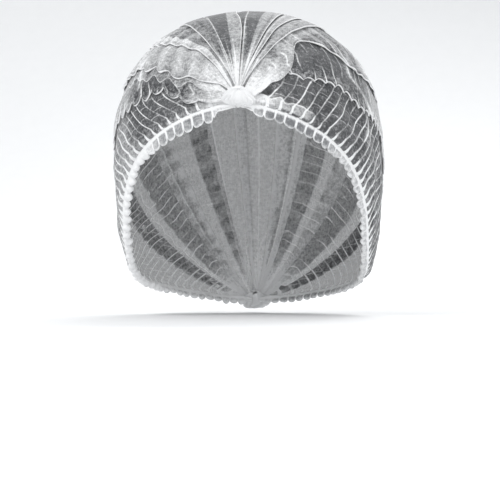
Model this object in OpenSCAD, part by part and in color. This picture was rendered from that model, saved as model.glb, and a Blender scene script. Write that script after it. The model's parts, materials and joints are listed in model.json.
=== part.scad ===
// Pleated disposable head cap, in its worn shape.
// A sheet of thin nonwoven is folded into lengthwise pleats that meet at an end weld over the
// forehead and another at the nape. Each long edge is hemmed round an elastic. The pleats spread
// and gather like the leaves of a fan about the straight line between the two end welds.
//
// Row frame: +Z up, -Y the wearer's front, +X the wearer's left. The origin is halfway between
// the end welds. Most shapes are worked out in the hinge frame, where a point is [x, a, n]:
// x across, a along the weld line towards the nape, n square to both, towards the crown.

/* [Dome] */
// Straight distance from the front end weld to the rear one
weld_span = 230; // [200:5:260]
// Angle of the weld line below the horizontal, falling towards the nape
weld_line_tilt = 38.66; // [25:0.01:50]
// Greatest height of the crown above the weld line
crown_height = 140.5; // [120:1:145]
// Greatest half width of the dome
dome_half_width = 99; // [90:1:110]
// How boxy the cross-section's shoulders are
shoulder_power = 2.8; // [2:0.1:3.5]
// Radius of the bundle of pleats where they reach a weld
gather_r = 10; // [9:0.5:14]

/* [Pleats] */
// Thickness of a pleat panel, which stands for the bulk of the folded layers
sheet_t = 0.7; // [0.5:0.1:1]
// How far each panel lies inside the one above it
nest_step = 1.6; // [1.3:0.1:2]
// Angle from the crown's centre line to the edge of the centre panel
centre_half_angle = 26; // [20:1:30]
// Angle by which each pair of neighbouring panels overlaps
panel_overlap = 8; // [5:1:10]

/* [Hem and elastic] */
// Half the width across the two elastics at the ears
elastic_half_width = 85; // [75:1:88]
// How far the elastic dips below the weld line behind the ears
elastic_drop = 29; // [15:0.5:35]
// How far inside each end of the weld line the elastic starts
elastic_setback = 8; // [7:0.5:12]
// Radius of the round covered elastic
elastic_r = 0.75; // [0.5:0.05:1]
// Distance from one scallop of the ruffled hem to the next, over the brow
brow_pitch = 8; // [6:0.1:10]
// The same from the temples back, where the elastic is less stretched
side_pitch = 6.3; // [5:0.1:9]
// Reach of a scallop past the elastic, over the brow
brow_reach = 9.5; // [6:0.1:12]
// Reach of a scallop from the temples back, where the hem bunches up
side_reach = 5.8; // [5:0.1:9]
// Depth of the notch between two scallops, as a share of their reach
notch_share = 0.4; // [0.1:0.05:0.5]

/* [End welds] */
// Radius of an end weld's bead
bead_r = 4.2; // [3:0.1:4.5]
// Length of an end weld's bead along the weld line
bead_length = 15; // [12:1:20]

/* [Hidden] */

half_span = weld_span / 2;
// Where along the weld line the crown is highest, and the dome widest
crown_peak_a = -15;
dome_widest_a = 5;
// Middle of the head, which the hem faces
head_centre = [0, -5, 22];
// The paths stop this many degrees short of the weld line's ends, clear of the bead
end_gap = 4.3;
// Each side panel covers an equal share of the dome from the centre panel to this angle
side_low = 20;
side_share = (90 - centre_half_angle - side_low) / 2;
panel_rows = 24;
panel_columns = 6;
lower_columns = 9;
elastic_rings = 64;
elastic_sides = 8;
hem_rings = 150;
// The hem's leaves and the clearances round the elastic
leaf_t = 0.4;
tunnel_r = elastic_r + 0.2;
hem_top = 2.5;
fin_half_t = 0.5;
hem_seam_gap = 0.3;
// Length of elastic between a weld and the temple
brow_length = 65;

fabric = "white";
rubber = "ivory";

// A number's distance along a stretch that starts at peak and ends at half_span or its negative
function share_of_side(a, peak) = a < peak ? (peak - a) / (half_span + peak) : (a - peak) / (half_span - peak);

// Height of the crown over the weld line: blunt at the forehead, an ellipse towards the nape
function crown_profile(a) =
    let (root = a < crown_peak_a ? 2.9 : 2)
    crown_height * pow(max(0, 1 - pow(share_of_side(a, crown_peak_a), 2)), 1 / root);

// Half width of the dome at the weld line
function side_profile(a) = dome_half_width * sqrt(max(0, 1 - pow(share_of_side(a, dome_widest_a), 3.4)));

// Radius of the dome about the weld line, theta degrees up from sideways. It never shrinks on
// the way up to the crown, so that a leaf that turns upwards stays inside the one above it.
function dome_r(a, theta) =
    let (
        side = side_profile(a),
        rise = 1 - pow(abs(cos(max(0, theta))), shoulder_power),
        r = side + (crown_profile(a) - side) * rise
    )
    sqrt(r * r + gather_r * gather_r);

// A point of the dome, or of a dome that lies inset millimetres inside it all round
function dome_point(a, theta, inset) =
    (dome_r(a, theta) - inset) * [cos(theta), 0, sin(theta)] + [0, a * (1 - inset / half_span), 0];

// The elastic's route, from the front weld at phi 0 to the rear weld at phi 180
function elastic_point(phi) =
    let (
        along = (1 - cos(phi)) / 2,
        fullness = phi < 90 ? 2.4 : 3.4,
        across = elastic_half_width * pow(1 - pow(abs(cos(phi)), fullness), 0.526),
        dip = elastic_drop * pow(sin(180 * pow(along, 1.25)), 1.6),
        forehead_sag = 3.5 * pow(sin(min(180, 5 * phi / 2)), 2)
    )
    [across, -(half_span - elastic_setback) * cos(phi), -dip - forehead_sag];

function unit(v) = v / norm(v);

// Along the elastic, away from the head, and across the hem towards the face
function elastic_along(phi) = unit(elastic_point(phi + 0.5) - elastic_point(phi - 0.5));
function elastic_out(phi) =
    let (
        t = elastic_along(phi),
        away = elastic_point(phi) - head_centre
    )
    unit(away - (away * t) * t);
function elastic_down(phi) = cross(elastic_along(phi), elastic_out(phi));

function end_to_end(i, n) = end_gap + (180 - 2 * end_gap) * i / n;

// The length of the elastic up to each ring of the hem
hem_phis = [for (i = [0:hem_rings]) end_to_end(i, hem_rings)];
hem_steps = [for (i = [1:hem_rings]) norm(elastic_point(hem_phis[i]) - elastic_point(hem_phis[i - 1]))];
hem_lengths = [for (i = 0, s = 0; i <= hem_rings; s = s + (i < hem_rings ? hem_steps[i] : 0), i = i + 1) s];

// How many scallops fit in the first part of the elastic, of that length
function scallops_in(length_so_far) =
    length_so_far / side_pitch
        - brow_length * (1 / side_pitch - 1 / brow_pitch) * (1 - 2 / (exp(2 * length_so_far / brow_length) + 1));

// How far the hem's edge lies past the elastic
function scallop_edge(phi, length_so_far) =
    let (
        past_brow = max(0, min(1, (phi - 40) / 20)),
        bunched = past_brow * past_brow * (3 - 2 * past_brow),
        reach = brow_reach + (side_reach - brow_reach) * bunched
    )
    reach * (1 - notch_share * (1 - abs(sin(180 * scallops_in(length_so_far)))));

module in_hinge_frame() {
    rotate([-weld_line_tilt, 0, 0]) children();
}

module on_the_right() {
    mirror([1, 0, 0]) children();
}

// A closed sheet between an outer and an inner grid of points, row by row
module sheet_between(outer, inner) {
    rows = len(outer);
    cols = len(outer[0]);
    points = concat([for (row = outer) each row], [for (row = inner) each row]);
    function at(r, c) = r * cols + c;
    function under(r, c) = rows * cols + at(r, c);
    function wall(a, b, c, d) = [[a, b, c], [a, c, d]];
    faces = concat(
        [for (r = [0:rows - 2], c = [0:cols - 2]) each wall(at(r, c), at(r, c + 1), at(r + 1, c + 1), at(r + 1, c))],
        [for (r = [0:rows - 2], c = [0:cols - 2])
            each wall(under(r, c), under(r + 1, c), under(r + 1, c + 1), under(r, c + 1))],
        [for (r = [0:rows - 2]) each wall(at(r, 0), at(r + 1, 0), under(r + 1, 0), under(r, 0))],
        [for (r = [0:rows - 2])
            each wall(at(r + 1, cols - 1), at(r, cols - 1), under(r, cols - 1), under(r + 1, cols - 1))],
        [for (c = [0:cols - 2]) each wall(at(0, c + 1), at(0, c), under(0, c), under(0, c + 1))],
        [for (c = [0:cols - 2])
            each wall(at(rows - 1, c), at(rows - 1, c + 1), under(rows - 1, c + 1), under(rows - 1, c))]
    );
    polyhedron(points, faces, convexity = 6);
}

// A closed tube through rings of points, all with the same number of points
module tube_through(rings) {
    sides = len(rings[0]);
    last = len(rings) - 1;
    points = [for (ring = rings) each ring];
    faces = concat(
        [for (r = [0:last - 1], i = [0:sides - 1])
            let (j = (i + 1) % sides, p = r * sides, q = p + sides)
            each [[p + i, p + j, q + j], [p + i, q + j, q + i]]],
        [[for (i = [sides - 1:-1:0]) i]],
        [[for (i = [0:sides - 1]) last * sides + i]]
    );
    polyhedron(points, faces, convexity = 6);
}

// One leaf of the fan, from angle low to angle high, level steps inside the dome's surface
module pleat_panel(low, high, level) {
    function grid(inset) = [
        for (i = [0:panel_rows])
            let (a = -half_span * cos(180 * i / panel_rows))
            [for (j = [0:panel_columns]) dome_point(a, low + (high - low) * j / panel_columns, inset)]
    ];
    color(fabric) in_hinge_frame()
        sheet_between(grid(level * nest_step), grid(level * nest_step + sheet_t));
}

module centre_pleat() {
    pleat_panel(90 - centre_half_angle, 90 + centre_half_angle, 0);
}

module upper_pleat() {
    high = 90 - centre_half_angle + panel_overlap;
    pleat_panel(high - panel_overlap - side_share, high, 1);
}

module middle_pleat() {
    high = side_low + side_share + panel_overlap;
    pleat_panel(high - panel_overlap - side_share, high, 2);
}

// The lowest leaf, which is gathered in from the dome's surface to the hem
module lower_pleat() {
    high = side_low + panel_overlap;
    level = 3;
    function grid(inset, side) = [
        for (i = [0:panel_rows])
            let (
                phi = end_to_end(i, panel_rows),
                hem_edge = elastic_point(phi) - (hem_top + hem_seam_gap) * elastic_down(phi)
                    + side * sheet_t / 2 * elastic_out(phi),
                low = atan2(hem_edge[2], hem_edge[0])
            )
            [for (j = [lower_columns:-1:0])
                let (
                    fall = j / lower_columns,
                    gather = pow(fall, 3),
                    on_dome = dome_point(-half_span * cos(phi), high + (low - high) * fall, inset)
                )
                on_dome * (1 - gather) + hem_edge * gather]
    ];
    color(fabric) in_hinge_frame()
        sheet_between(grid(level * nest_step, 1), grid(level * nest_step + sheet_t, -1));
}

module elastic() {
    rings = [
        for (i = [0:elastic_rings])
            let (phi = end_to_end(i, elastic_rings))
            [for (k = [0:elastic_sides - 1])
                let (turn = 360 * k / elastic_sides)
                elastic_point(phi) + elastic_r * (cos(turn) * elastic_out(phi) + sin(turn) * elastic_down(phi))]
    ];
    color(rubber) in_hinge_frame() tube_through(rings);
}

// The turned hem: two leaves form a tunnel round the elastic and run on as one ruffled fin.
// A section point is [away from the head, towards the face].
function hem_section(edge) =
    let (outer = tunnel_r + leaf_t)
    [
        [outer, -hem_top], [outer, 0.6], [fin_half_t, 2.3], [fin_half_t, edge],
        [-fin_half_t, edge], [-fin_half_t, 2.3], [-outer, 0.6], [-outer, -hem_top],
        [-tunnel_r, -hem_top], [-tunnel_r, 0.5], [0, 1.4], [tunnel_r, 0.5], [tunnel_r, -hem_top]
    ];

module hem() {
    rings = [
        for (i = [0:hem_rings])
            let (phi = hem_phis[i])
            [for (p = hem_section(scallop_edge(phi, hem_lengths[i])))
                elastic_point(phi) + p[0] * elastic_out(phi) + p[1] * elastic_down(phi)]
    ];
    color(fabric) in_hinge_frame() tube_through(rings);
}

// The pinched and fused end of the pleats, a round-nosed bead on the weld line
module end_weld() {
    nose_r = bead_r / 2;
    color(fabric)
        rotate_extrude($fn = 48)
            union() {
                square([nose_r, bead_length]);
                translate([0, nose_r]) square([bead_r, bead_length - 2 * nose_r]);
                translate([nose_r, nose_r]) circle(nose_r, $fn = 32);
                translate([nose_r, bead_length - nose_r]) circle(nose_r, $fn = 32);
            }
}

module front_end_weld() {
    in_hinge_frame() translate([0, -half_span - 3, 0]) rotate([-90, 0, 0]) end_weld();
}

module rear_end_weld() {
    in_hinge_frame() translate([0, half_span + 3, 0]) rotate([90, 0, 0]) end_weld();
}

centre_pleat();
upper_pleat();  // upper_pleat_left
on_the_right() upper_pleat();  // upper_pleat_right
middle_pleat();  // middle_pleat_left
on_the_right() middle_pleat();  // middle_pleat_right
lower_pleat();  // lower_pleat_left
on_the_right() lower_pleat();  // lower_pleat_right
hem();  // hem_left
on_the_right() hem();  // hem_right
elastic();  // elastic_left
on_the_right() elastic();  // elastic_right
front_end_weld();
rear_end_weld();
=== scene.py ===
"""The looks of a pleated nonwoven head cap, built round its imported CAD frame.

The cap is one thin sheet, folded into lengthwise pleats that meet at a pinched weld over the
forehead and another at the nape. Shapes are worked out in the hinge frame, where a point is
(x, a, n): x across, a along the line between the welds towards the nape, n square to both,
towards the crown. Angles there are fan angles, in degrees up from sideways. Lengths are metres.
"""

import math
import random

import bpy
import numpy as np
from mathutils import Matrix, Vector
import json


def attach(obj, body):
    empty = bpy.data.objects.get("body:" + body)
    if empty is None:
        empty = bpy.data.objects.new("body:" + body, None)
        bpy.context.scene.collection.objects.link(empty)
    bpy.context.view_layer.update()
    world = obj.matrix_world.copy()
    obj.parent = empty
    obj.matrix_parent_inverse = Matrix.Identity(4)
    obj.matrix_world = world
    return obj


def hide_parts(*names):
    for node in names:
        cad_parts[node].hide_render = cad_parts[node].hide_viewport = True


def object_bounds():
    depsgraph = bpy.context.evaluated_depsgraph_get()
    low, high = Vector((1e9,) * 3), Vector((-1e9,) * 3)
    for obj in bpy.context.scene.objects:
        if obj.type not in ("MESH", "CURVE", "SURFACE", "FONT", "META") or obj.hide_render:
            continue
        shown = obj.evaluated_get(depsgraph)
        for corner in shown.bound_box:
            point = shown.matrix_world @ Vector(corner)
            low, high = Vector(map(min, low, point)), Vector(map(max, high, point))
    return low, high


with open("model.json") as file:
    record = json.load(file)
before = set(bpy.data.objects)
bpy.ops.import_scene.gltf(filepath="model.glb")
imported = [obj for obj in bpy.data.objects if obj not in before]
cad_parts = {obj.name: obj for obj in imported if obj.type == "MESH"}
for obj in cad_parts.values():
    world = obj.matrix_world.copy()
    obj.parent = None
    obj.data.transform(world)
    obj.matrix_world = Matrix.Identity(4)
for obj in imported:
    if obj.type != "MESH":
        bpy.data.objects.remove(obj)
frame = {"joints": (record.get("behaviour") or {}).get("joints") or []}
CAD_BOX = [list(corner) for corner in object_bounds()]

MM = 0.001

# The dome, as in the CAD model
HALF_SPAN = 115 * MM
CROWN_HEIGHT = 140.5 * MM
CROWN_PEAK_A = -15 * MM
DOME_HALF_WIDTH = 99 * MM
DOME_WIDEST_A = 5 * MM
SHOULDER_POWER = 2.8
GATHER_R = 10 * MM
NEST_STEP = 1.6 * MM

# The elastic's route and the scallops of its hem, as in the CAD model
ELASTIC_HALF_WIDTH = 85 * MM
ELASTIC_DROP = 29 * MM
ELASTIC_SETBACK = 8 * MM
ELASTIC_R = 0.75 * MM
BROW_LENGTH = 65 * MM
BROW_PITCH = 8 * MM
SIDE_PITCH = 6.3 * MM
BROW_REACH = 9.5 * MM
SIDE_REACH = 5.8 * MM
HEAD_CENTRE = np.array([0, -5, 22]) * MM

# How far short of the welds the hems and the lower leaves stop, in degrees along the elastic
HEM_END_GAP = 1.6
LEAF_END_GAP = 2.2

# The step from one ply of a fold to the next, and from one broad ruffle of a full leaf to the next
LAYER = 0.4 * MM
PUFF_PITCH = 11.5 * MM

# The pinched wad at each weld, and how far it stands out past the weld and above the weld line
KNOT_R = 6.2 * MM
KNOT_LENGTH = 17 * MM
KNOT_OVERHANG = 5 * MM
KNOT_LIFT = 3.2 * MM

# Round the sides and the back the sheet is painted whiter: painted light that takes back part of the painted
# shade of the dark thin tone there.
# The constant below is where that starts over the crown, in degrees along the leaf.
PALENESS = 0.38
CROWN_PALE_FROM = 62

# What differs between the sides of the cap as worn: 1 is the wearer's left and -1 the right.
# The whites are added to the material's layer count, where 1 is white.
LOOKS = {
    1: {
        "pale_from": 49,  # degrees along the leaf
        "lower_paleness": 0.25,  # the lower leaf's share of PALENESS
        "lean_back": 0.5,  # how steeply the gathers above the hem run, as metres along per metre up
        "weld_white": 0.55,  # the lower leaf beside the weld
        "hemline_white": 0.12,  # the lower leaf just above the hem
        "crease_lowest": 6,  # fan angle where the temple crease ends
        "scallop_depth": 0.8,  # of the brow's scallops, as a share of BROW_REACH
        "drawn_up": (4 * MM, 18 * MM),  # from wholly drawn up into the knot to not at all
        "hem_white": 0.06,
        "rope_white": 0.5,
        "rope_puff": 1.3,  # how much fuller the hem is where it bunches into a rope, in millimetres
    },
    -1: {
        "pale_from": 40,
        "lower_paleness": 0.6,
        "lean_back": 0.8,
        "weld_white": 0.75,
        "hemline_white": 0.34,
        "crease_lowest": 23,
        "scallop_depth": 1.08,
        "drawn_up": (14 * MM, 19 * MM),
        "hem_white": 0.24,
        "rope_white": 0.8,
        "rope_puff": 2.0,
    },
}

# The weld line's direction is the hinge axis that the right-hand leaves turn about
hinge = next(j for j in frame["joints"] if j["name"] == "lower_fold_right")
ALONG = np.array(hinge["axis"], float)
ALONG /= np.linalg.norm(ALONG)
ACROSS = np.array([1.0, 0.0, 0.0])
UP = np.cross(ACROSS, ALONG)


def to_row(points):
    """Hinge-frame points as row-frame points."""
    points = np.asarray(points)
    return points[..., :1] * ACROSS + points[..., 1:2] * ALONG + points[..., 2:] * UP


def smoothstep(low, high, value):
    """0 below low, 1 above high, and smooth between them."""
    t = np.clip((value - low) / (high - low), 0, 1)
    return t * t * (3 - 2 * t)


def ripples(u, v, seed, count=7):
    """A smooth wandering value, about -1 to 1, with waves about 1 long in u and v."""
    rng = random.Random(seed)
    total = np.zeros(np.broadcast(u, v).shape)
    for _ in range(count):
        turn = rng.uniform(0, math.tau)
        pace = rng.uniform(0.5, 1.5) * math.tau
        total += np.sin(pace * (u * math.cos(turn) + v * math.sin(turn)) + rng.uniform(0, math.tau))
    return total / math.sqrt(count)


# ---------------------------------------------------------------- the dome and the elastic


def share_of_side(a, peak):
    """How far along its end of the cap a point is: 0 at the peak, 1 at that end's weld."""
    return np.where(a < peak, (peak - a) / (HALF_SPAN + peak), (a - peak) / (HALF_SPAN - peak))


def dome_radius(a, theta):
    """Radius of the dome about the weld line, theta degrees up from one side."""
    root = np.where(a < CROWN_PEAK_A, 2.9, 2)
    share = np.clip(share_of_side(a, CROWN_PEAK_A), 0, 1)
    crown = CROWN_HEIGHT * np.maximum(0, 1 - share**2) ** (1 / root)
    share = np.clip(share_of_side(a, DOME_WIDEST_A), 0, 1)
    side = DOME_HALF_WIDTH * np.sqrt(np.maximum(0, 1 - share**3.4))
    rise = 1 - np.abs(np.cos(np.radians(np.clip(theta, 0, 180)))) ** SHOULDER_POWER
    return np.hypot(side + (crown - side) * rise, GATHER_R)


def dome_point(a, theta, inset):
    """A point of the dome, or of a dome inset metres inside it. The layers meet at the welds."""
    r = dome_radius(a, theta) - inset
    pinch = 0.65 * GATHER_R * (1 - smoothstep(0, 25 * MM, r - GATHER_R))
    turn = np.radians(theta)
    return np.stack([(r - pinch) * np.cos(turn), a * (1 - inset / HALF_SPAN), (r - pinch) * np.sin(turn)], -1)


def elastic_point(phi):
    """The elastic's route on the wearer's left, phi 0 at the front weld to 180 at the rear."""
    t = np.radians(phi)
    along = (1 - np.cos(t)) / 2
    fullness = np.where(phi < 90, 2.4, 3.4)
    across = ELASTIC_HALF_WIDTH * (1 - np.abs(np.cos(t)) ** fullness) ** 0.526
    dip = ELASTIC_DROP * np.sin(np.pi * along**1.25) ** 1.6
    forehead_sag = 3.5 * MM * np.sin(np.minimum(np.pi, 2.5 * t)) ** 2
    return np.stack([across, -(HALF_SPAN - ELASTIC_SETBACK) * np.cos(t), -dip - forehead_sag], -1)


def unit(v):
    """Vectors scaled to length 1."""
    return v / np.linalg.norm(v, axis=-1, keepdims=True)


def elastic_frame(phi):
    """Points of the elastic, and its directions away from the head and across the hem."""
    point = elastic_point(phi)
    along = unit(elastic_point(phi + 0.5) - elastic_point(phi - 0.5))
    away = point - HEAD_CENTRE
    out = unit(away - (away * along).sum(-1, keepdims=True) * along)
    return point, out, np.cross(along, out)


def elastic_lengths(phi):
    """The length of the elastic from the first phi to each phi."""
    steps = np.linalg.norm(np.diff(elastic_point(phi), axis=0), axis=1)
    return np.concatenate([[0], np.cumsum(steps)])


def scallops_in(length):
    """How many scallops of the hem fit in the first part of the elastic, of that length."""
    widened = BROW_LENGTH * (1 / SIDE_PITCH - 1 / BROW_PITCH)
    return length / SIDE_PITCH - widened * np.tanh(length / BROW_LENGTH)


# ---------------------------------------------------------------- meshes


def grid_object(name, points, side=1, wrap=False, values=None):
    """A sheet through a grid of hinge-frame points, or a tube if its columns wrap round."""
    points = np.array(points, float)
    points[..., 0] *= side
    rows, cols = points.shape[:2]
    index = np.arange(rows * cols).reshape(rows, cols)
    if wrap:
        index = np.concatenate([index, index[:, :1]], 1)
    quads = np.stack([index[:-1, :-1], index[:-1, 1:], index[1:, 1:], index[1:, :-1]], -1).reshape(-1, 4)
    if side < 0:
        quads = quads[:, ::-1]
    mesh = bpy.data.meshes.new(name)
    mesh.from_pydata(to_row(points).reshape(-1, 3).tolist(), [], quads.tolist())
    mesh.polygons.foreach_set("use_smooth", [True] * len(mesh.polygons))
    for key, value in (values or {}).items():
        layer = mesh.attributes.new(key, "FLOAT", "POINT")
        layer.data.foreach_set("value", np.broadcast_to(value, (rows, cols)).astype(np.float32).ravel())
    mesh.update()
    obj = bpy.data.objects.new(name, mesh)
    bpy.context.scene.collection.objects.link(obj)
    return obj


def grid_normals(points):
    """Unit normals of a grid of points."""
    down = np.gradient(points, axis=0)
    over = np.gradient(points, axis=1)
    n = np.cross(over, down)
    length = np.linalg.norm(n, axis=-1, keepdims=True)
    return n / np.maximum(length, 1e-9)


# ---------------------------------------------------------------- materials


def add_node(tree, kind, inputs=None, **settings):
    """A new node. Its inputs are sockets to link from, or plain values."""
    node = tree.nodes.new(kind)
    for key, value in settings.items():
        setattr(node, key, value)
    for key, value in (inputs or {}).items():
        if hasattr(value, "links"):
            tree.links.new(value, node.inputs[key])
        else:
            node.inputs[key].default_value = value
    return node


def math_node(tree, operation, *values, clamp=False):
    """The result of one sum."""
    node = add_node(tree, "ShaderNodeMath", dict(enumerate(values)), operation=operation)
    node.use_clamp = clamp
    return node.outputs[0]


def value_of(tree, name):
    """One of the mesh's own values, which grid_object stored."""
    return add_node(tree, "ShaderNodeAttribute", attribute_name=name).outputs["Fac"]


def ramp(tree, value, low, high, start=0.0, end=1.0):
    """A smooth step from start to end as value goes from low to high."""
    inputs = {"Value": value, "From Min": low, "From Max": high, "To Min": start, "To Max": end}
    return add_node(tree, "ShaderNodeMapRange", inputs, interpolation_type="SMOOTHSTEP").outputs[0]


def fibre_layer(tree, coords, turn, scale):
    """Fine streaks that run one way: one lay of the nonwoven's filaments."""
    mapping = add_node(tree, "ShaderNodeMapping", {"Vector": coords, "Rotation": turn, "Scale": scale})
    noise = add_node(tree, "ShaderNodeTexNoise", {"Vector": mapping.outputs[0], "Scale": 1.0, "Detail": 2.0})
    return noise.outputs["Fac"]


def line_at(tree, phase, width, core, edge):
    """1 along lines where phase is a whole number, fading to 0 between core and edge of a step."""
    step = math_node(tree, "ABSOLUTE", math_node(tree, "SUBTRACT", math_node(tree, "FRACT", phase), 0.5))
    away = math_node(tree, "SUBTRACT", math_node(tree, "SUBTRACT", 0.5, step), width)
    return ramp(tree, away, core, edge, 1.0, 0.0)


# The colours of one smooth layer of cloth and of many. The white is the cloth's own colour. The dark one is
# painted shade: it stands for the shaded inside of the cap seen through a single layer.
SHADED_THIN_TONE = (0.05, 0.052, 0.056)
THICK_TONE = (0.86, 0.862, 0.866)


def nonwoven_material(name, cover, thin_tone=SHADED_THIN_TONE):
    """Thin spunbond sheet. It is clearest where a single layer lies smooth, and white where it bunches,
    folds or creases. Where a single layer lies smooth, its colour goes to thin_tone. The default dark
    grey there is painted shade, standing for the shaded inside of the cap seen through the sheet.
    Cover is the share of light that a smooth layer stops."""
    mat = bpy.data.materials.new(name)
    mat.use_nodes = True
    tree = mat.node_tree
    shader = tree.nodes["Principled BSDF"]
    coords = add_node(tree, "ShaderNodeTexCoord").outputs["Object"]

    # Three lays of filaments, and the web's cloudy thickness
    streaks = fibre_layer(tree, coords, (0.4, 0.2, 0.6), (1500, 160, 900))
    streaks = math_node(tree, "ADD", streaks, fibre_layer(tree, coords, (1.1, 0.9, 2.0), (170, 1400, 800)))
    streaks = math_node(tree, "ADD", streaks, fibre_layer(tree, coords, (2.0, 1.7, 0.3), (1300, 900, 150)))
    fibres = ramp(tree, streaks, 1.15, 1.95)
    noise = add_node(tree, "ShaderNodeTexNoise", {"Vector": coords, "Scale": 400.0, "Detail": 3.0})
    clouds = ramp(tree, noise.outputs["Fac"], 0.32, 0.7)

    # Gather creases, which widen towards the hem, and the fainter ones that fan out of the knot
    gather_phase = value_of(tree, "crease_phase")
    wedge = math_node(tree, "MULTIPLY", value_of(tree, "wedge"), 0.22)
    line = line_at(tree, gather_phase, wedge, 0.02, 0.1)
    line = math_node(tree, "MULTIPLY", line, value_of(tree, "crease"))
    fan = line_at(tree, value_of(tree, "fan_phase"), 0.0, 0.03, 0.2)
    fan = math_node(tree, "MULTIPLY", fan, value_of(tree, "fan"))
    # Short faint rungs across the cloth between one gather and the next, each at its own height
    rung_height = value_of(tree, "rung_height")
    stagger = add_node(tree, "ShaderNodeTexWhiteNoise", noise_dimensions="1D")
    tree.links.new(math_node(tree, "FLOOR", gather_phase), stagger.inputs["W"])
    rung = line_at(tree, math_node(tree, "ADD", rung_height, stagger.outputs["Value"]), 0.0, 0.01, 0.055)
    has_rungs = ramp(tree, rung_height, 0.7, 1.2, 0.0, 0.32)
    rung = math_node(tree, "MULTIPLY", rung, has_rungs)

    fold = math_node(tree, "POWER", value_of(tree, "fold"), 1.5)
    gathers = math_node(tree, "MAXIMUM", line, rung)
    marks = math_node(tree, "ADD", gathers, math_node(tree, "MAXIMUM", fold, fan))
    marks = math_node(tree, "MINIMUM", marks, 1.0)

    # How thick the cloth looks here: 0 is one smooth layer, and 1 is so many that it is white
    layers = math_node(tree, "MULTIPLY_ADD", fibres, 0.27, -0.23)
    layers = math_node(tree, "MULTIPLY_ADD", clouds, 0.22, layers)
    layers = math_node(tree, "ADD", layers, value_of(tree, "bunch"))
    layers = math_node(tree, "ADD", layers, marks, clamp=True)
    density = math_node(tree, "MULTIPLY_ADD", layers, 0.97 - cover, cover, clamp=True)
    tree.links.new(density, shader.inputs["Alpha"])

    # Painted shade: the colour runs from the dark thin tone where one smooth layer lies, standing for the
    # shaded inside seen through it, to the cloth's own white where it is thick
    colour = add_node(tree, "ShaderNodeValToRGB", {"Fac": layers})
    colour.color_ramp.elements[0].color = (*thin_tone, 1)
    colour.color_ramp.elements[1].color = (*THICK_TONE, 1)
    colour.color_ramp.elements[1].position = 0.85
    tree.links.new(colour.outputs[0], shader.inputs["Base Color"])

    relief = math_node(tree, "MULTIPLY_ADD", marks, 1.2, math_node(tree, "ADD", fibres, clouds))
    bump = add_node(tree, "ShaderNodeBump", {"Height": relief, "Strength": 0.35, "Distance": 0.25 * MM})
    tree.links.new(bump.outputs[0], shader.inputs["Normal"])
    tree.links.new(ramp(tree, fibres, 0, 1, 0.62, 0.8), shader.inputs["Roughness"])
    shader.inputs["Specular IOR Level"].default_value = 0.3
    shader.inputs["Sheen Weight"].default_value = 0.4
    shader.inputs["Sheen Roughness"].default_value = 0.35
    return mat


def elastic_material():
    """Covered elastic: white thread wound round a rubber core."""
    mat = bpy.data.materials.new("covered elastic")
    mat.use_nodes = True
    tree = mat.node_tree
    shader = tree.nodes["Principled BSDF"]
    turns = math_node(tree, "FRACT", value_of(tree, "thread"))
    groove = math_node(tree, "ABSOLUTE", math_node(tree, "SUBTRACT", turns, 0.5))
    wound = ramp(tree, groove, 0.5, 0.1)
    colour = add_node(tree, "ShaderNodeValToRGB", {"Fac": wound})
    colour.color_ramp.elements[0].color = (0.72, 0.71, 0.68, 1)
    colour.color_ramp.elements[1].color = (0.96, 0.955, 0.94, 1)
    tree.links.new(colour.outputs[0], shader.inputs["Base Color"])
    bump = add_node(tree, "ShaderNodeBump", {"Height": wound, "Strength": 0.6, "Distance": 0.2 * MM})
    tree.links.new(bump.outputs[0], shader.inputs["Normal"])
    shader.inputs["Roughness"].default_value = 0.55
    return mat


def backdrop_material():
    """Plain pale card with a faint grain."""
    mat = bpy.data.materials.new("pale backdrop")
    mat.use_nodes = True
    tree = mat.node_tree
    shader = tree.nodes["Principled BSDF"]
    coords = add_node(tree, "ShaderNodeTexCoord").outputs["Object"]
    grain = add_node(tree, "ShaderNodeTexNoise", {"Vector": coords, "Scale": 60.0, "Detail": 4.0})
    colour = add_node(tree, "ShaderNodeValToRGB", {"Fac": grain.outputs["Fac"]})
    colour.color_ramp.elements[0].color = (0.9, 0.902, 0.905, 1)
    colour.color_ramp.elements[1].color = (0.93, 0.932, 0.935, 1)
    tree.links.new(colour.outputs[0], shader.inputs["Base Color"])
    shader.inputs["Roughness"].default_value = 0.85
    return mat


# ---------------------------------------------------------------- the pleated leaves

# Rows run from the front weld, phi 0, to the rear one, phi 180
ROWS = 400
PHI = np.linspace(0, 180, ROWS)
ROW_A = (-HALF_SPAN * np.cos(np.radians(PHI)))[:, None]
ALONG_HEM = elastic_lengths(PHI)

# How far a fold has spread out of the pinched ends, 0 to 1
FROM_END = np.minimum(PHI, 180 - PHI)
SPREAD_OUT = FROM_END / (FROM_END + 2.3)


def fan_curve(*points):
    """A fold's fan angle along a leaf, through points of (phi, angle)."""
    xs, ys = zip(*points)
    blur = 3
    taps = np.hanning(2 * blur + 3)[1:-1]
    sharp = np.pad(np.interp(PHI, xs, ys), blur, mode="edge")
    return np.convolve(sharp, taps / taps.sum(), "valid")


def gathered(angle):
    """A fold that leaves the pinched ends close to the crown line and then spreads to its angle."""
    return 90 + (angle - 90) * SPREAD_OUT


def ruffle(amount, pitch, seed):
    """The ripples of a loose folded edge, in degrees. They calm down past the temple and die out
    at the nape."""
    calm = smoothstep(3, 12, PHI) * (1 - 0.75 * smoothstep(32, 60, PHI)) * (1 - smoothstep(160, 176, PHI))
    return amount * calm * ripples(ALONG_HEM / pitch, 0 * ALONG_HEM, seed, count=4)


def peaks(amount, share=1.0):
    """Ripples that peak where the gathers run up into the edge, in degrees. Share is how many of
    the gathers do."""
    calm = smoothstep(3, 8, PHI) * (1 - 0.7 * smoothstep(60, 100, PHI)) * (1 - smoothstep(160, 176, PHI))
    return amount * calm * (0.5 - np.abs(np.sin(np.pi * share * scallops_in(ALONG_HEM))) ** 0.7)


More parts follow.
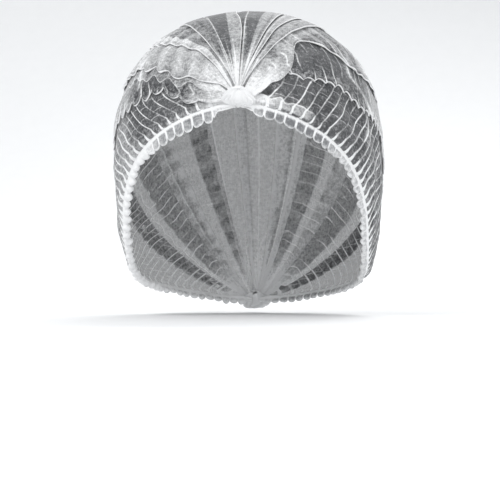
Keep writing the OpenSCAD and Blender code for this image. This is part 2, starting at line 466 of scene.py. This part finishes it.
def section_columns(stations):
    """Turns fold stations into columns. A station is (angle, inset in layers, fold mark, steps
    to the next), and the angle is a number or one value for each row."""
    angles, insets, folds = [], [], []
    for here, after in zip(stations, stations[1:]):
        steps = here[3]
        for i in range(steps):
            f = i / steps
            angles.append((1 - f) * np.broadcast_to(here[0], ROWS) + f * np.broadcast_to(after[0], ROWS))
            insets.append((1 - f) * here[1] + f * after[1])
            folds.append(here[2] if i == 0 else 0)
    last = stations[-1]
    angles.append(np.broadcast_to(last[0], ROWS))
    insets.append(last[1])
    folds.append(last[2])
    return np.stack(angles, 1), np.array(insets)[None, :], np.array(folds)[None, :]


def hem_fold(angle, flap=6.0, steps=8, edge_mark=1.0):
    """A leaf's lower edge: over the fold and back up underneath, for flap degrees."""
    return [
        (angle + 0.45, 0, 0.15 * edge_mark, 1),
        (angle, 0.1, edge_mark, 1),
        (angle - 0.15, 0.9, edge_mark, 1),
        (angle, 1.7, edge_mark, 1),
        (angle + 0.5, 1.8, 0, steps),
        (angle + flap, 2.2, 0, 1),
    ]


def pleat(low, high, steps=4):
    """A pleat pressed flat: down to low on top, back up to high, and down again underneath."""
    return [
        (high + 0.5, 0, 0, 1),
        (high + 0.1, 0, 0.15, 1),
        (high - 0.3, 0, 0, steps),
        (low + 0.4, 0, 0.1, 1),
        (low, 0.1, 1, 1),
        (low - 0.1, 0.5, 1, 1),
        (low + 0.1, 0.9, 0.6, 3),
        (high - 0.1, 1.2, 0.6, 1),
        (high + 0.1, 1.6, 0.8, 1),
        (high - 0.1, 2.0, 0.6, 3),
        (low - 0.3, 2.0, 0, 2),
        (low - 2.2, 0.3, 0, 4),
    ]


def crease_line(angle, steps):
    """A pressed crease with no fold: a low ridge."""
    return [(angle + 0.5, 0.1, 0.1, 1), (angle, -0.5, 0.8, 1), (angle - 0.5, 0.1, 0.1, steps)]


def count_plies(angles, under=None):
    """How many layers lie at each point of a leaf, from its own folds and a leaf underneath."""
    low = np.minimum(angles[:, :-1], angles[:, 1:])[:, None, :]
    high = np.maximum(angles[:, :-1], angles[:, 1:])[:, None, :]
    here = angles[:, :, None]
    plies = 1.0 + ((here > low + 0.05) & (here < high - 0.05)).sum(-1)
    if under is not None:
        plies += here[:, :, 0] < np.broadcast_to(under, ROWS)[:, None]
    return plies


def temple_crease(phi, angles, side):
    """The crease where the sheet turns round a temple: 1 on its line, and 1 on the ridge about it."""
    bend = 14 * (1 - smoothstep(18, 37, angles)) if side > 0 else 2 * np.sin(angles / 6)
    away = phi - (42 + bend)
    lowest = LOOKS[side]["crease_lowest"]
    reach = smoothstep(lowest, lowest + 5, angles) * (1 - smoothstep(40, 50, angles))
    return reach * np.exp(-((away / 0.6) ** 2)), reach * np.exp(-((away / 2.2) ** 2))


def make_leaf(name, stations, level, side, seed, relief=0.35, crinkle=0.0, puffs=0.0, fan=0.12,
              pale=0.0, pale_above=0.0, knot_white=0.8, under=None):
    """A leaf of the fan on one side. Relief, crinkle and puffs are heights in millimetres of its
    loose bulges, its gather creases and the broad ruffles across it. Fan is how clear the gathers
    are that spread from the knot, pale how much whiter its front is above an angle, and knot_white
    how much whiter it is beside the knot. Another leaf lies underneath below the angle under."""
    angles, layers, folds = section_columns(stations)
    reach = dome_radius(ROW_A, angles)
    along = ALONG_HEM[:, None]
    spread = smoothstep(14 * MM, 60 * MM, reach)
    near_knot = 1 - smoothstep(12 * MM, 55 * MM, reach)
    points = dome_point(ROW_A, angles, level * NEST_STEP + layers * LAYER)
    normals = grid_normals(dome_point(ROW_A + 0 * angles, angles, 0 * angles))
    normals *= np.sign((normals * points).sum(-1, keepdims=True))

    around = np.radians(angles) * 0.1
    bulge = relief * ripples(along / 0.03, around / 0.028, seed)
    fan_phase = angles / 5.5 + 0.5 * ripples(along / 0.05, angles / 30, seed + 1)
    gathers = (0.3 + 1.6 * fan) * (np.abs(np.sin(np.pi * fan_phase)) - 0.5) * near_knot
    phase = scallops_in(along) + 0.16 * ripples(along / 0.03, around / 0.03, seed + 2)
    fade = np.clip(0.45 + 0.6 * ripples(along / 0.025, around / 0.04, seed + 3), 0, 1)
    creases = crinkle * fade * (0.5 - np.abs(np.sin(np.pi * phase)))
    puff_phase = along / PUFF_PITCH + 0.3 * ripples(along / 0.06, around / 0.05, seed + 4)
    broad = puffs * np.sin(2 * np.pi * puff_phase)
    lift = (bulge + creases + broad) * spread + gathers
    points = points + normals * (lift * MM)[..., None]

    pale_from = LOOKS[side]["pale_from"] if level else CROWN_PALE_FROM
    extra = 0.19 * (count_plies(angles, under) - 1) + 0.13 * broad * spread
    # Painted light: whiter round the sides and the back, lifting the painted shade of the dark thin tone
    extra += PALENESS * smoothstep(pale_from, pale_from + 10, PHI)[:, None]
    above = smoothstep(-0.5, 0.5, angles - np.broadcast_to(pale_above, ROWS)[:, None])
    extra += pale * above * (1 - smoothstep(40, 52, PHI))[:, None]
    crease, ridge = temple_crease(PHI[:, None], angles, side)
    extra += 0.3 * ridge
    values = {
        "fold": np.maximum(folds * (0.35 + 0.65 * spread), 0.6 * crease),
        "crease_phase": phase,
        "crease": np.minimum(0.75, 1.3 * crinkle * fade) * spread,
        "fan_phase": fan_phase,
        "fan": fan * (1 - smoothstep(25 * MM, 75 * MM, reach)),
        "bunch": extra + knot_white * (1 - smoothstep(10 * MM, 54 * MM, reach)),
    }
    return grid_object(name, points, side, values=values)


CENTRE_LEFT_EDGE = gathered(64) - 2 * smoothstep(15, 40, PHI)
CENTRE_RIGHT_EDGE = gathered(116)


def centre_leaf():
    """The pleats over the crown, from the fold on the wearer's right to the one on the left."""
    edge = CENTRE_RIGHT_EDGE
    stations = [
        (edge - 8, 2.6, 0, 6),
        (edge - 0.4, 2.0, 0, 1),
        (edge, 1.7, 1, 1),
        (edge + 0.15, 0.9, 1, 1),
        (edge, 0.1, 1, 1),
        (edge - 0.5, 0, 0.1, 8),
    ]
    stations += crease_line(gathered(107), 8)
    stations += pleat(fan_curve((0, 91), (19, 90.7), (24, 91.5), (38, 94), (180, 94)), 98.3)
    stations += crease_line(fan_curve((0, 88), (22, 89.6), (180, 90)), 4)
    stations += pleat(gathered(76.5), 83.4)
    stations += pleat(gathered(71.5) - 1.5 * smoothstep(20, 40, PHI), gathered(74.8))
    stations += hem_fold(CENTRE_LEFT_EDGE + ruffle(0.4, 0.02, 5), flap=7)
    return make_leaf("centre_pleats", stations, level=0, side=1, seed=11, relief=0.3, fan=0.5, under=72)


def left_side_leaves():
    """The wearer's left. A short flap by the weld, and a big fold that drops over the temple."""
    upper_edge = fan_curve((0, 40), (2, 16), (5.4, 17), (6.6, 27), (7.6, 32), (8.1, 38), (8.7, 41.5),
                           (9.6, 35), (12, 38), (15, 43), (19, 54), (23, 59), (28, 58.5), (32, 52),
                           (37, 46), (41, 39), (48, 37), (180, 38))
    upper = [(71.5, 0.3, 0, 12)]
    upper += hem_fold(upper_edge + ruffle(0.8, 0.014, 21), flap=np.minimum(20, 70 - upper_edge))
    pale_above = fan_curve((0, 20), (15, 40), (19, 54), (23, 60), (180, 62))
    upper = make_leaf("upper_pleats_left", upper, level=1, side=1, seed=24, crinkle=0.35, puffs=0.5,
                      pale=0.26, pale_above=pale_above, knot_white=0.7)

    middle_edge = fan_curve((0, 48), (12, 46), (15, 42), (19, 35), (24, 30), (30, 28), (35, 25.5), (41, 20),
                            (47, 17), (60, 19), (180, 20))
    top = fan_curve((0, 52), (14, 60), (40, 60), (60, 50), (180, 50))
    middle = [(top, 0.3, 0, 26)]
    middle += hem_fold(middle_edge + peaks(-3.2) + ruffle(0.8, 0.012, 22), flap=5)
    middle = make_leaf("middle_pleats_left", middle, level=2, side=1, seed=26, relief=0.5, crinkle=0.55)

    top = fan_curve((0, 52), (14, 50), (24, 37), (35, 32), (50, 29), (180, 29))
    lower = lower_leaf("lower_pleats_left", top, side=1, seed=27)
    return upper, middle, lower


def right_side_leaves():
    """The wearer's right. A full, ruffled fold over the brow, and a rippled one under it."""
    drop = fan_curve((0, 66), (6, 63.3), (13, 61.5), (18, 58.7), (24, 55.5), (30, 53.5), (39, 52), (180, 54))
    upper_edge = fan_curve((0, 62), (5, 50), (7, 43), (11, 37.5), (16, 34), (25, 34), (31, 35.5), (43, 37.5),
                           (180, 38))
    upper = [(71.5, 0.3, 0, 3)]
    upper += pleat(drop, np.minimum(drop + 5, 70))
    edge = upper_edge + ruffle(1.9, 0.013, 41) + ruffle(0.7, 0.007, 45)
    upper += hem_fold(edge, flap=np.maximum(3, drop - 1 - edge))
    upper = make_leaf("upper_pleats_right", upper, level=1, side=-1, seed=44, relief=0.45, crinkle=0.1,
                      puffs=0.8, pale=0.3, knot_white=0.4)

    middle_edge = fan_curve((0, 30), (3, 12), (6, 7), (18, 8), (22, 16), (26, 22), (38, 20.5), (44, 17.5),
                            (60, 19.5), (180, 20))
    strip = edge - 5 + ruffle(1.8, 0.012, 43) - 5 * (1 - smoothstep(8, 16, PHI))
    middle = [(49, 0.3, 0, 8)]
    middle += crease_line(strip, 18)
    middle += hem_fold(middle_edge + peaks(6, 0.75) + ruffle(0.8, 0.012, 42), flap=5)
    middle = make_leaf("middle_pleats_right", middle, level=2, side=-1, seed=46, crinkle=0.55,
                       pale=0.25, pale_above=strip)

    top = fan_curve((0, 36), (20, 29), (180, 29))
    lower = lower_leaf("lower_pleats_right", top, side=-1, seed=47)
    return upper, middle, lower


def brow_band(phi, points, along, height):
    """On the wearer's left, the cloth above the brow's hem is doubled, and a hollow opens above it
    beside the weld. Shares of the doubling, its upper edge and the hollow, which lower_leaf also paints dark
    as painted shade."""
    over_brow = smoothstep(3, 7, phi) * (1 - smoothstep(25, 33, phi))
    edge = (8.6 + 1.5 * ripples(along / 0.011, 0 * along, 71)) * MM
    doubled = smoothstep(2 * MM, 3.4 * MM, height)
    doubled *= 1 - smoothstep(edge - 0.4 * MM, edge + 0.6 * MM, height)
    across = (points[..., 0] - 18.4 * MM) / (2.3 * MM)
    up = (points[..., 2] - 12.2 * MM) / (2 * MM)
    hollow = np.exp(-(across**2) - up**2)
    edge_line = np.exp(-(((height - edge) / (0.8 * MM)) ** 2))
    return over_brow * doubled, over_brow * edge_line, np.minimum(1, 2 * hollow)


def lower_leaf(name, top, side, seed):
    """The lowest leaf: from under the middle one, out over the ear and in to the elastic."""
    looks = LOOKS[side]
    rows, cols = 500, 60
    phi = np.linspace(LEAF_END_GAP, 180 - LEAF_END_GAP, rows)
    spot, out, down = elastic_frame(phi)
    along = elastic_lengths(phi)[:, None]
    edge = spot - 1.6 * MM * down
    high = np.interp(phi, PHI, top)[:, None]
    low = np.degrees(np.arctan2(edge[:, 2], edge[:, 0]))[:, None]
    fall = np.linspace(0, 1, cols)[None, :]
    theta = high + (low - high) * fall
    a = (-HALF_SPAN * np.cos(np.radians(phi)))[:, None]
    gather = (fall**3)[..., None]
    base = dome_point(a + 0 * fall, theta, 3 * NEST_STEP + 0 * fall)
    points = base * (1 - gather) + edge[:, None, :] * gather
    normals = grid_normals(points)
    normals *= np.sign((normals * (points - HEAD_CENTRE)).sum(-1, keepdims=True))

    height = np.linalg.norm(points - points[:, -1:, :], axis=-1)
    reach = np.hypot(points[..., 0], points[..., 2])
    spread = smoothstep(8 * MM, 40 * MM, reach)
    held = np.exp(-height / (22 * MM))
    bulge = 0.8 * ripples(along / 0.035, height / 0.03, seed)
    lean = 0.3 * height - looks["lean_back"] * np.maximum(0, height - 7 * MM)
    wander = 0.2 * ripples(along / 0.04, height / 0.03, seed + 1) * (1 - held)
    phase = scallops_in(along) + lean / SIDE_PITCH + wander
    ridge = np.abs(np.sin(np.pi * phase))
    fade = np.clip(0.6 + 0.6 * ripples(along / 0.018, height / 0.03, seed + 2), 0, 1)
    puckers = 1.6 * (held + 0.25) * (0.35 + 0.65 * fade)
    off_hem = smoothstep(0, 5 * MM, height)
    lift = bulge * off_hem * smoothstep(0, 0.12, fall) - puckers * (0.5 - ridge) * (0.25 + 0.75 * off_hem)
    band, band_edge, hollow = 0, 0, 0
    if side > 0:
        band, band_edge, hollow = brow_band(phi[:, None], points, along, height)
    lift = lift * spread + 0.9 * band - 4 * hollow
    points = points + normals * (lift * MM)[..., None]
    at_side = smoothstep(34, 60, phi)[:, None]
    pale_from = looks["pale_from"] + 4
    white = looks["weld_white"] * (1 - smoothstep(8 * MM, 34 * MM, reach))
    white += looks["hemline_white"] * np.exp(-height / (5 * MM))
    # Painted light: whiter round the sides and the back, lifting the painted shade of the dark thin tone
    white += looks["lower_paleness"] * PALENESS * smoothstep(pale_from, pale_from + 10, phi)[:, None]
    # The hollow is dented in and also painted dark: painted shade in the recess
    white += 0.36 * band - 1.5 * hollow
    crease, ridge = temple_crease(phi[:, None], theta, side)
    values = {
        "fold": np.maximum(0.6 * crease, 0.75 * band_edge) + 0 * height,
        "crease_phase": phase,
        "crease": np.maximum(0.25 + 0.6 * fade, smoothstep(12 * MM, 2 * MM, height)),
        "wedge": 0.5 * np.exp(-height / (3.2 * MM)) + 0.35 * at_side * held,
        "rung_height": height / (11 * MM),
        "fan_phase": theta / 6,
        "fan": 0.1 * (1 - smoothstep(15 * MM, 45 * MM, reach)),
        "bunch": white + 0.3 * ridge,
    }
    return grid_object(name, points, side, values=values)


# ---------------------------------------------------------------- hem, elastic and welds


def hem(name, side, seed):
    """The ruffled hem: one sheath, gathered into a pocket at each scallop, with the elastic in it.
    Over the brow the pockets lie flat, and from the temples back they bunch up into a rope."""
    looks = LOOKS[side]
    phi = np.linspace(HEM_END_GAP, 180 - HEM_END_GAP, 1800)
    spot, out, down = elastic_frame(phi)
    along = elastic_lengths(phi)
    phase = scallops_in(along) + 0.08 * ripples(along / 0.02, 0 * along, seed)
    across = 2 * np.mod(phase, 1) - 1
    pocket = (1 - np.abs(across) ** 2.8) ** 0.55
    full = np.abs(np.sin(np.pi * phase))
    past_brow = smoothstep(36, 52, phi)
    roped = past_brow * (1 - 0.5 * smoothstep(125, 150, phi))
    size = 1 + 0.08 * ripples(along / 0.013, 0 * along, seed + 1)
    deepest = looks["scallop_depth"] * BROW_REACH * (1 - past_brow) + SIDE_REACH * past_brow
    deepest *= size
    notch = (0.56 - 0.1 * roped) * deepest
    reach = notch + (deepest - notch) * pocket
    puff = (0.25 + (0.8 + looks["rope_puff"] * roped) * full**0.7) * size * MM
    lean = (0.8 * roped * ripples(along / 0.009, 0 * along, seed + 2) + 0.5 * roped * across) * MM
    from_knot = np.abs(spot[:, 0])
    near_knot = 1 - smoothstep(7 * MM, 24 * MM, from_knot)
    tunnel = ELASTIC_R + (0.35 + 0.2 * full + 1.5 * near_knot) * MM

    # Beside the front knot the first scallop is drawn up into it, and at both knots the hem thins
    drawn_up = (1 - smoothstep(*looks["drawn_up"], from_knot)) * (phi < 90)
    reach = reach * (1 - drawn_up) + 2.6 * MM * drawn_up
    taper = 0.45 + 0.55 * smoothstep(2.5 * MM, 12 * MM, from_knot)

    # Half of the sheath's outline: distance out, distance down and fold mark
    one = np.ones_like(phi)
    half = [
        (0.25 * MM * one, -2.6 * MM * one, 0.0),
        (0.75 * tunnel, -1.5 * MM * one, 0.0),
        (tunnel, -0.3 * MM * one, 0.0),
        (0.85 * tunnel, 0.8 * MM * one, 0.0),
        (0.35 * MM + 0.3 * puff, 1.7 * MM * one, 0.0),
        (0.85 * puff, 0.38 * reach + 0.5 * MM, 0.0),
        (puff, 0.6 * reach, 0.0),
        (0.85 * puff, 0.8 * reach, 0.1),
        (0.5 * puff, 0.93 * reach, 0.6),
    ]
    outline = half + [(0 * one, reach, 0.8)] + [(-o, d, mark) for o, d, mark in reversed(half)]
    points = []
    for o, d, _ in outline:
        slant = lean * np.clip(d / reach, 0, 1)
        points.append(spot + (taper * (o + slant))[:, None] * out + (taper * d)[:, None] * down)
    points = np.stack(points, 1)
    depth = np.stack([d for _, d, _ in outline], 1)
    marks = np.array([mark for _, _, mark in outline])[None, :]
    channel = np.exp(-((depth + 0.2 * MM) / (1.2 * MM)) ** 4)
    white = looks["hem_white"] + looks["rope_white"] * roped + 0.6 * near_knot
    values = {
        "fold": marks * (1 - 0.5 * roped)[:, None],
        "crease_phase": phase[:, None],
        "crease": 0.9,
        "wedge": 0.16,
        "bunch": channel + white[:, None],
    }
    return grid_object(name, points, side, values=values)


def elastic(name, side):
    """A round elastic with its wound cover, slightly uneven where the gathers grip it."""
    phi = np.linspace(HEM_END_GAP, 180 - HEM_END_GAP, 900)
    spot, out, down = elastic_frame(phi)
    along = elastic_lengths(phi)
    turn = np.linspace(0, math.tau, 12, endpoint=False)
    r = ELASTIC_R * (0.93 + 0.07 * np.cos(2 * np.pi * scallops_in(along)))
    ring = np.cos(turn)[None, :, None] * out[:, None, :] + np.sin(turn)[None, :, None] * down[:, None, :]
    points = spot[:, None, :] + r[:, None, None] * ring
    thread = along[:, None] / (0.5 * MM) + turn[None, :] / math.tau
    return grid_object(name, points, side, wrap=True, values={"thread": thread})


def weld_knot(name, end, seed):
    """The pleats' pinched end: an uneven wad, wider than it is tall, with ribs that are the pleats'
    ends. It runs from its outer tip, z 0, to inside the cap, z 1."""
    rings, spokes = 70, 256
    z = np.linspace(0, 1, rings)[:, None]
    turn = np.linspace(0, math.tau, spokes, endpoint=False)[None, :]
    profile = np.sin(np.pi * np.clip(z, 0.0002, 0.99)) ** 0.45 * (1 - 0.3 * smoothstep(0.35, 0.9, z))
    ribs = np.abs(np.sin(turn * 9 + 1.1 * ripples(z * 1.3, np.cos(turn), seed)))
    lumps = 1 + 0.1 * ripples(np.cos(turn) * 1.1, np.sin(turn) * 1.1 + z, seed + 1)
    top = np.exp(-((np.cos(turn) / 0.35) ** 2)) * (np.sin(turn) > 0)
    r = KNOT_R * profile * (lumps + 0.34 * top) * (0.88 + 0.13 * np.maximum(ribs, top))
    a = end * (HALF_SPAN + KNOT_OVERHANG) - end * KNOT_LENGTH * z
    a = a + 0.7 * MM * ripples(np.cos(turn), np.sin(turn), seed + 2)
    x = r * np.sign(np.cos(turn)) * np.abs(np.cos(turn)) ** 0.75 * (1.75 - 0.25 * np.sin(turn))
    squash = np.where(np.sin(turn) < 0, 0.88, 1 - 0.12 * np.abs(np.cos(turn)) ** 3)
    n = r * np.sin(turn) * squash + KNOT_LIFT
    points = np.stack([x, a, n], -1)
    values = {"fold": 0.5 * ribs, "crease_phase": 0.5, "crease": 0.0, "bunch": 0.8}
    return grid_object(name, points, 1, wrap=True, values=values)


# ---------------------------------------------------------------- the cap


def build_cap():
    """Every piece, with its material, the body it rides on and the CAD node it replaces."""
    # The sheet's and the hem's dark thin tones are painted shade for the shaded inside seen through them; the
    # welded wad's near-white one is the cloth's own colour
    cloth = nonwoven_material("spunbond nonwoven", cover=0.78)
    hem_cloth = nonwoven_material("gathered nonwoven", cover=0.7, thin_tone=(0.2, 0.205, 0.215))
    knot_cloth = nonwoven_material("welded nonwoven", cover=0.95, thin_tone=(0.9, 0.905, 0.91))
    rubber = elastic_material()

    def dress(piece, material, body, node):
        piece.data.materials.append(material)
        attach(piece, body)
        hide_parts(node)

    centre = centre_leaf()
    dress(centre, cloth, "crown", "centre_pleat")
    for end, word in ((-1, "front"), (1, "rear")):
        knot = weld_knot(f"{word}_weld_knot", end, seed=3 + end)
        dress(knot, knot_cloth, "crown", f"{word}_end_weld")

    for side, word, leaves in ((1, "left", left_side_leaves()), (-1, "right", right_side_leaves())):
        for piece, part in zip(leaves, ("upper", "middle", "lower")):
            dress(piece, cloth, f"{part}_{word}", f"{part}_pleat_{word}")
        edge = hem(f"ruffled_hem_{word}", side, seed=60 + side)
        dress(edge, hem_cloth, f"lower_{word}", f"hem_{word}")
        cord = elastic(f"elastic_cord_{word}", side)
        dress(cord, rubber, f"lower_{word}", f"elastic_{word}")


# ---------------------------------------------------------------- stage, light and camera


def build_stage():
    """A pale floor that curves up into a backdrop, just under the cap's lowest point."""
    low = CAD_BOX[0][2] - 1 * MM
    curve_r, back, half_width, front, wall_height = 1.2, 2.2, 6.0, -5.0, 5
    curve_steps = 24
    profile = [(front, low), (back - curve_r, low)]
    for i in range(1, curve_steps + 1):
        t = math.radians(90 * i / curve_steps)
        profile.append((back - curve_r + curve_r * math.sin(t), low + curve_r * (1 - math.cos(t))))
    profile.append((back, low + wall_height))
    verts = [(x, y, z) for y, z in profile for x in (-half_width, half_width)]
    faces = [(2 * i, 2 * i + 1, 2 * i + 3, 2 * i + 2) for i in range(len(profile) - 1)]
    mesh = bpy.data.meshes.new("backdrop")
    mesh.from_pydata(verts, [], faces)
    mesh.polygons.foreach_set("use_smooth", [True] * len(faces))
    floor = bpy.data.objects.new("backdrop", mesh)
    floor.data.materials.append(backdrop_material())
    bpy.context.scene.collection.objects.link(floor)


def area_light(name, place, target, size, power):
    """A soft rectangular light at place that faces target."""
    light = bpy.data.lights.new(name, "AREA")
    light.shape = "RECTANGLE"
    light.size, light.size_y = size
    light.energy = power
    lamp = bpy.data.objects.new(name, light)
    lamp.location = place
    lamp.rotation_euler = (Vector(target) - Vector(place)).to_track_quat("-Z", "Y").to_euler()
    bpy.context.scene.collection.objects.link(lamp)


def build_light():
    """An even pale studio with three softboxes: key on the wearer's right, fill, and rim behind."""
    world = bpy.data.worlds.new("studio")
    bpy.context.scene.world = world
    world.use_nodes = True
    world.node_tree.nodes["Background"].inputs["Color"].default_value = (0.96, 0.98, 1.0, 1)
    world.node_tree.nodes["Background"].inputs["Strength"].default_value = 0.72
    area_light("key softbox", (-0.9, -1.1, 1.3), (0, 0, 0.02), (0.8, 0.8), 14)
    area_light("fill softbox", (1.2, -0.9, 0.5), (0, 0, 0.02), (0.8, 1.0), 5)
    area_light("rim softbox", (0.3, 1.1, 1.2), (0, 0, 0.05), (1.0, 0.5), 12)


def build_camera():
    """Level with the wearer's eyes, a little round to the wearer's left, on a long lens."""
    distance, azimuth = 1.51, math.radians(4.0)
    target = Vector((1.8, 0, -30)) * MM
    picture_width, mm_a_pixel = 500, 0.7124
    view_width = picture_width * mm_a_pixel * MM
    camera = bpy.data.cameras.new("camera")
    camera.sensor_width = 36
    camera.lens = camera.sensor_width * distance / view_width
    obj = bpy.data.objects.new("camera", camera)
    obj.location = target + distance * Vector((math.sin(azimuth), -math.cos(azimuth), 0))
    obj.rotation_euler = (target - obj.location).to_track_quat("-Z", "Y").to_euler()
    bpy.context.scene.collection.objects.link(obj)
    bpy.context.scene.camera = obj
    bpy.context.scene.cycles.transparent_max_bounces = 48
    bpy.context.scene.view_settings.view_transform = "Standard"


build_camera()
build_cap()
build_stage()
build_light()
